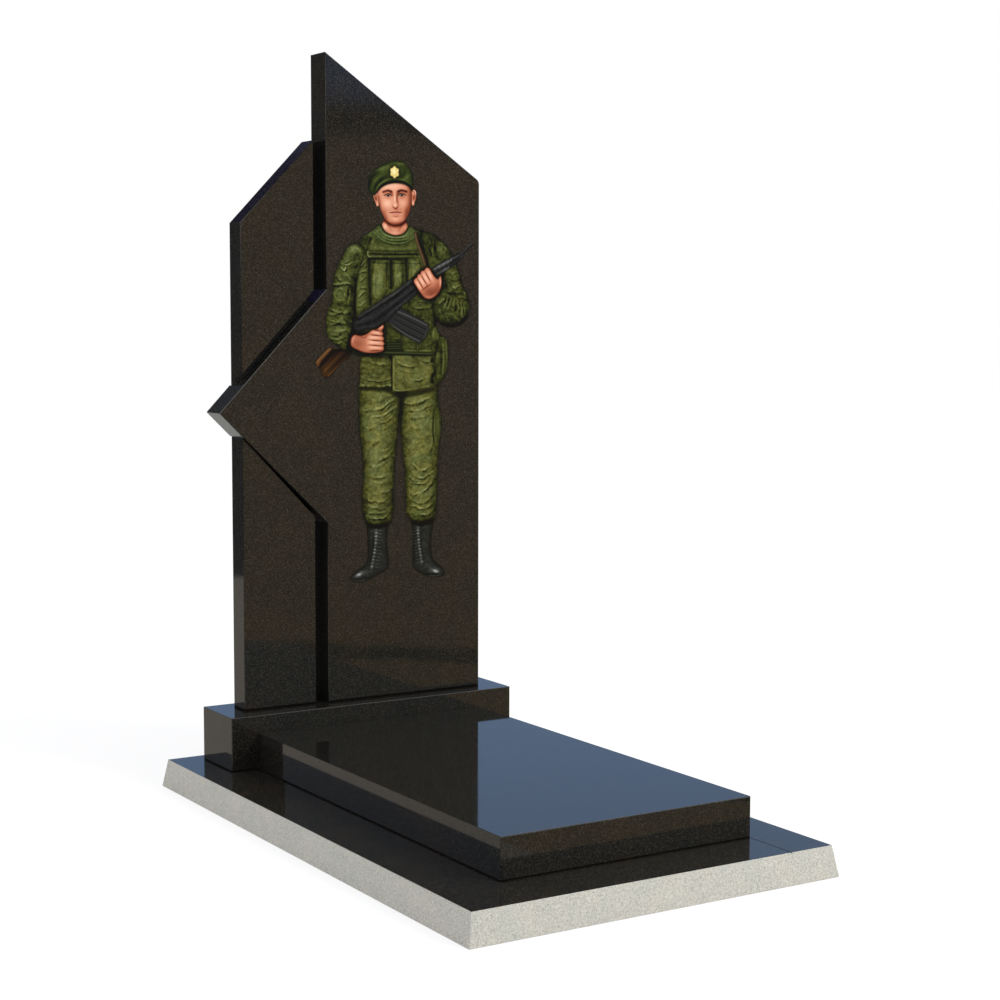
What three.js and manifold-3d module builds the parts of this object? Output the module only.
// War memorial grave monument in polished black granite, in millimetres.
// The frame: X to the right along the front of the steles, Y from the front to the back, Z up.
// The origin is the middle of the platform's underside, so the whole monument stands on Z = 0.
// Five stones: a platform, a pedestal across its back, a thick grave slab in front of the pedestal,
// a tall main stele with an arrow-shaped wing, and a side stele that the wing passes across.
import * as THREE from 'three';
import { mergeVertices } from 'three/addons/utils/BufferGeometryUtils.js';
import Module from 'manifold-3d';

// Platform: a low slab whose four sides lean outwards towards the foot
const platformHeight = 84;
const platformFlare = 14.5; // how far the foot stands out past the top edge, on each side
const platformFrontMargin = 167; // top surface in front of the grave slab
const platformBackMargin = 50; // top surface behind the pedestal
const platformLeftMargin = 98; // top surface past the pedestal's left end
const platformRightMargin = 13; // top surface past the pedestal's right end

// Pedestal: a block that carries both steles
const pedestalHeight = 165;
const pedestalEndOverhang = 79; // past the steles at each end
const pedestalFrontOverhang = 68; // in front of the main stele
const pedestalBackOverhang = 46; // behind the main stele

// Grave slab: lies on the platform and butts against the pedestal
const slabLength = 1392;
const slabWidth = 780;
const slabHeight = 112;
const slabLeftInset = 86; // from the pedestal's left end to the slab's left side

// Main stele: heights are measured from its foot
const mainWidth = 550;
const mainThickness = 100;
const mainRightHeight = 1639;
const mainApexHeight = 2008;
const mainCornerRadius = 22; // the rounded corner at the top right
const wingReach = 360; // how far the wing's tip stands out past the left edge
const wingTipHeight = 915.5;
const wingTopRootHeight = 1289; // where the wing's upper edge leaves the left edge
const wingBottomRootHeight = 565; // where the wing's lower edge leaves the left edge

// Side stele: stands left of the main stele, its front a little further back
const slotWidth = 38; // open slot between the two steles
const sideWidth = 244;
const sideThickness = 80;
const sideSetBack = 10;
const sideLeftHeight = 1487;
const sideRightHeight = 1741;

// Halving joint: the wing keeps its front half and lies in a channel across the side stele
const halvingDepth = 50; // thickness that the wing keeps where it crosses the side stele
const channelGapTopInner = 38; // height of the open band above the wing, at the slot
const channelGapTopOuter = 34.5; // the same at the side stele's left edge
const channelGapBottomInner = 16.5; // height of the open wedge below the wing, at the slot
const channelGapBottomOuter = 0.8; // the same at the side stele's left edge

// Fits and edges
const beddingGap = 0.3; // between a stone and the one that it rests on or butts against
const halvingGap = 0.5; // between the wing and the side stele, behind it and at both ends
const arris = 2; // small chamfer along the front and back outlines of the steles
const slabArris = 2; // small chamfer along the long edges of the pedestal and the slab
const cutterExtra = 40; // how far a cutting body reaches past what it cuts
const cornerSegments = 6;

// Sizes that follow from the ones above
const stelesWidth = sideWidth + slotWidth + mainWidth;
const pedestalWidth = stelesWidth + 2 * pedestalEndOverhang;
const pedestalDepth = pedestalFrontOverhang + mainThickness + pedestalBackOverhang;
const platformWidth = platformLeftMargin + pedestalWidth + platformRightMargin;
const platformDepth =
  platformFrontMargin + slabLength + beddingGap + pedestalDepth + platformBackMargin;

// Places in the shared frame
const platformTop = platformHeight;
const slabFloor = platformTop + beddingGap;
const pedestalTop = slabFloor + pedestalHeight;
const steleFloor = pedestalTop + beddingGap;
const pedestalLeft = -platformWidth / 2 + platformLeftMargin;
const pedestalFront = platformDepth / 2 - platformBackMargin - pedestalDepth;
const slabLeft = pedestalLeft + slabLeftInset;
const slabFront = pedestalFront - beddingGap - slabLength;
const sideLeft = pedestalLeft + pedestalEndOverhang;
const mainLeft = sideLeft + sideWidth + slotWidth;
const mainFront = pedestalFront + pedestalFrontOverhang;
const sideFront = mainFront + sideSetBack;

const wasm = await Module();
wasm.setup();

// A closed three.js geometry as a solid that can be cut
function toSolid(geometry) {
  const bare = geometry.clone();
  bare.deleteAttribute('normal');
  bare.deleteAttribute('uv');
  const merged = mergeVertices(bare, 1e-4);
  return new wasm.Manifold(new wasm.Mesh({
    numProp: 3,
    vertProperties: new Float32Array(merged.attributes.position.array),
    triVerts: new Uint32Array(merged.index.array),
  }));
}

// A cut solid as a three.js geometry again
function toGeometry(solid) {
  const mesh = solid.getMesh();
  const geometry = new THREE.BufferGeometry();
  geometry.setAttribute('position', new THREE.BufferAttribute(new Float32Array(mesh.vertProperties), 3));
  geometry.setIndex(new THREE.BufferAttribute(new Uint32Array(mesh.triVerts), 1));
  geometry.computeVertexNormals();
  return geometry;
}

// An outline drawn in X and Z, made into a slab from Y = 0 to Y = thickness
function standingSlab(outline, thickness, chamfer) {
  const geometry = new THREE.ExtrudeGeometry(outline, {
    depth: thickness - 2 * chamfer,
    bevelEnabled: chamfer > 0,
    bevelThickness: chamfer,
    bevelSize: chamfer,
    bevelOffset: -chamfer,
    bevelSegments: 1,
    curveSegments: cornerSegments,
  });
  geometry.translate(0, 0, chamfer);
  geometry.rotateX(Math.PI / 2);
  geometry.translate(0, thickness, 0);
  return geometry;
}

// A closed outline through the points of a list
function polygon(points) {
  const shape = new THREE.Shape();
  points.forEach(([x, z], index) => (index === 0 ? shape.moveTo(x, z) : shape.lineTo(x, z)));
  shape.closePath();
  return shape;
}

// A box with its corner at the origin
function cornerBox(width, depth, height) {
  const geometry = new THREE.BoxGeometry(width, depth, height);
  geometry.translate(width / 2, depth / 2, height / 2);
  return geometry;
}

// Height of the wing's upper or lower edge at a distance left of the main stele's left edge
function wingEdge(rootHeight, distance) {
  return rootHeight + (wingTipHeight - rootHeight) * distance / wingReach;
}

// Platform: the foot of the block is pushed outwards on all four sides
function platformGeometry() {
  const geometry = new THREE.BoxGeometry(platformWidth, platformDepth, platformHeight);
  geometry.translate(0, 0, platformHeight / 2);
  const corners = geometry.attributes.position;
  for (let index = 0; index < corners.count; index += 1) {
    if (corners.getZ(index) < platformHeight / 2) {
      corners.setX(index, corners.getX(index) + Math.sign(corners.getX(index)) * platformFlare);
      corners.setY(index, corners.getY(index) + Math.sign(corners.getY(index)) * platformFlare);
    }
  }
  geometry.computeVertexNormals();
  return geometry;
}

// A block lying on its base, drawn from its front, with chamfered front and back outlines
function blockGeometry(width, depth, height) {
  return standingSlab(polygon([[0, 0], [width, 0], [width, height], [0, height]]), depth, slabArris);
}

// Main stele, with its foot's front left corner at the origin
function mainSteleGeometry() {
  const slope = Math.atan2(mainApexHeight - mainRightHeight, mainWidth);
  const cutBack = mainCornerRadius * Math.tan((Math.PI / 2 - slope) / 2);
  const outline = new THREE.Shape();
  outline.moveTo(0, 0);
  outline.lineTo(mainWidth, 0);
  outline.lineTo(mainWidth, mainRightHeight - cutBack);
  outline.absarc(mainWidth - mainCornerRadius, mainRightHeight - cutBack, mainCornerRadius, 0,
    Math.PI / 2 - slope, false);
  outline.lineTo(0, mainApexHeight);
  outline.lineTo(0, wingTopRootHeight);
  outline.lineTo(-wingReach, wingTipHeight);
  outline.lineTo(0, wingBottomRootHeight);
  outline.closePath();
  const stone = toSolid(standingSlab(outline, mainThickness, arris));
  // The wing's back is cut away where it crosses the side stele
  const rebate = cornerBox(sideWidth + 2 * halvingGap, mainThickness, mainApexHeight);
  rebate.translate(-slotWidth - sideWidth - halvingGap, halvingDepth, 0);
  return toGeometry(stone.subtract(toSolid(rebate)));
}

// Side stele, with its foot's front left corner at the origin
function sideSteleGeometry() {
  const outline = polygon([
    [0, 0], [sideWidth, 0], [sideWidth, sideRightHeight], [0, sideLeftHeight],
  ]);
  const stone = toSolid(standingSlab(outline, sideThickness, arris));
  // The channel that the wing lies in follows the wing's edges, with the gaps named above
  const innerDistance = slotWidth;
  const outerDistance = slotWidth + sideWidth;
  const topInner = wingEdge(wingTopRootHeight, innerDistance) + channelGapTopInner;
  const topOuter = wingEdge(wingTopRootHeight, outerDistance) + channelGapTopOuter;
  const bottomInner = wingEdge(wingBottomRootHeight, innerDistance) - channelGapBottomInner;
  const bottomOuter = wingEdge(wingBottomRootHeight, outerDistance) - channelGapBottomOuter;
  const topRise = (topInner - topOuter) / sideWidth * cutterExtra;
  const bottomRise = (bottomInner - bottomOuter) / sideWidth * cutterExtra;
  const channel = polygon([
    [-cutterExtra, bottomOuter - bottomRise],
    [sideWidth + cutterExtra, bottomInner + bottomRise],
    [sideWidth + cutterExtra, topInner + topRise],
    [-cutterExtra, topOuter - topRise],
  ]);
  const channelDepth = halvingDepth + halvingGap - sideSetBack;
  const cutter = standingSlab(channel, channelDepth + cutterExtra, 0);
  cutter.translate(0, -cutterExtra, 0);
  return toGeometry(stone.subtract(toSolid(cutter)));
}

// Each stone has a material of its own, so that one can be given another finish
function polishedGranite() {
  return new THREE.MeshStandardMaterial({ color: 0x1f1c1a, roughness: 0.1, metalness: 0 });
}

function placed(name, geometry, material, x, y, z) {
  const mesh = new THREE.Mesh(geometry, material);
  mesh.name = name;
  mesh.position.set(x, y, z);
  return mesh;
}

const monument = new THREE.Group();
monument.add(
  placed('platform', platformGeometry(), polishedGranite(), 0, 0, 0),
  placed('pedestal', blockGeometry(pedestalWidth, pedestalDepth, pedestalHeight), polishedGranite(),
    pedestalLeft, pedestalFront, slabFloor),
  placed('grave_slab', blockGeometry(slabWidth, slabLength, slabHeight), polishedGranite(),
    slabLeft, slabFront, slabFloor),
  placed('main_stele', mainSteleGeometry(), polishedGranite(), mainLeft, mainFront, steleFloor),
  placed('side_stele', sideSteleGeometry(), polishedGranite(), sideLeft, sideFront, steleFloor),
);

export default monument;
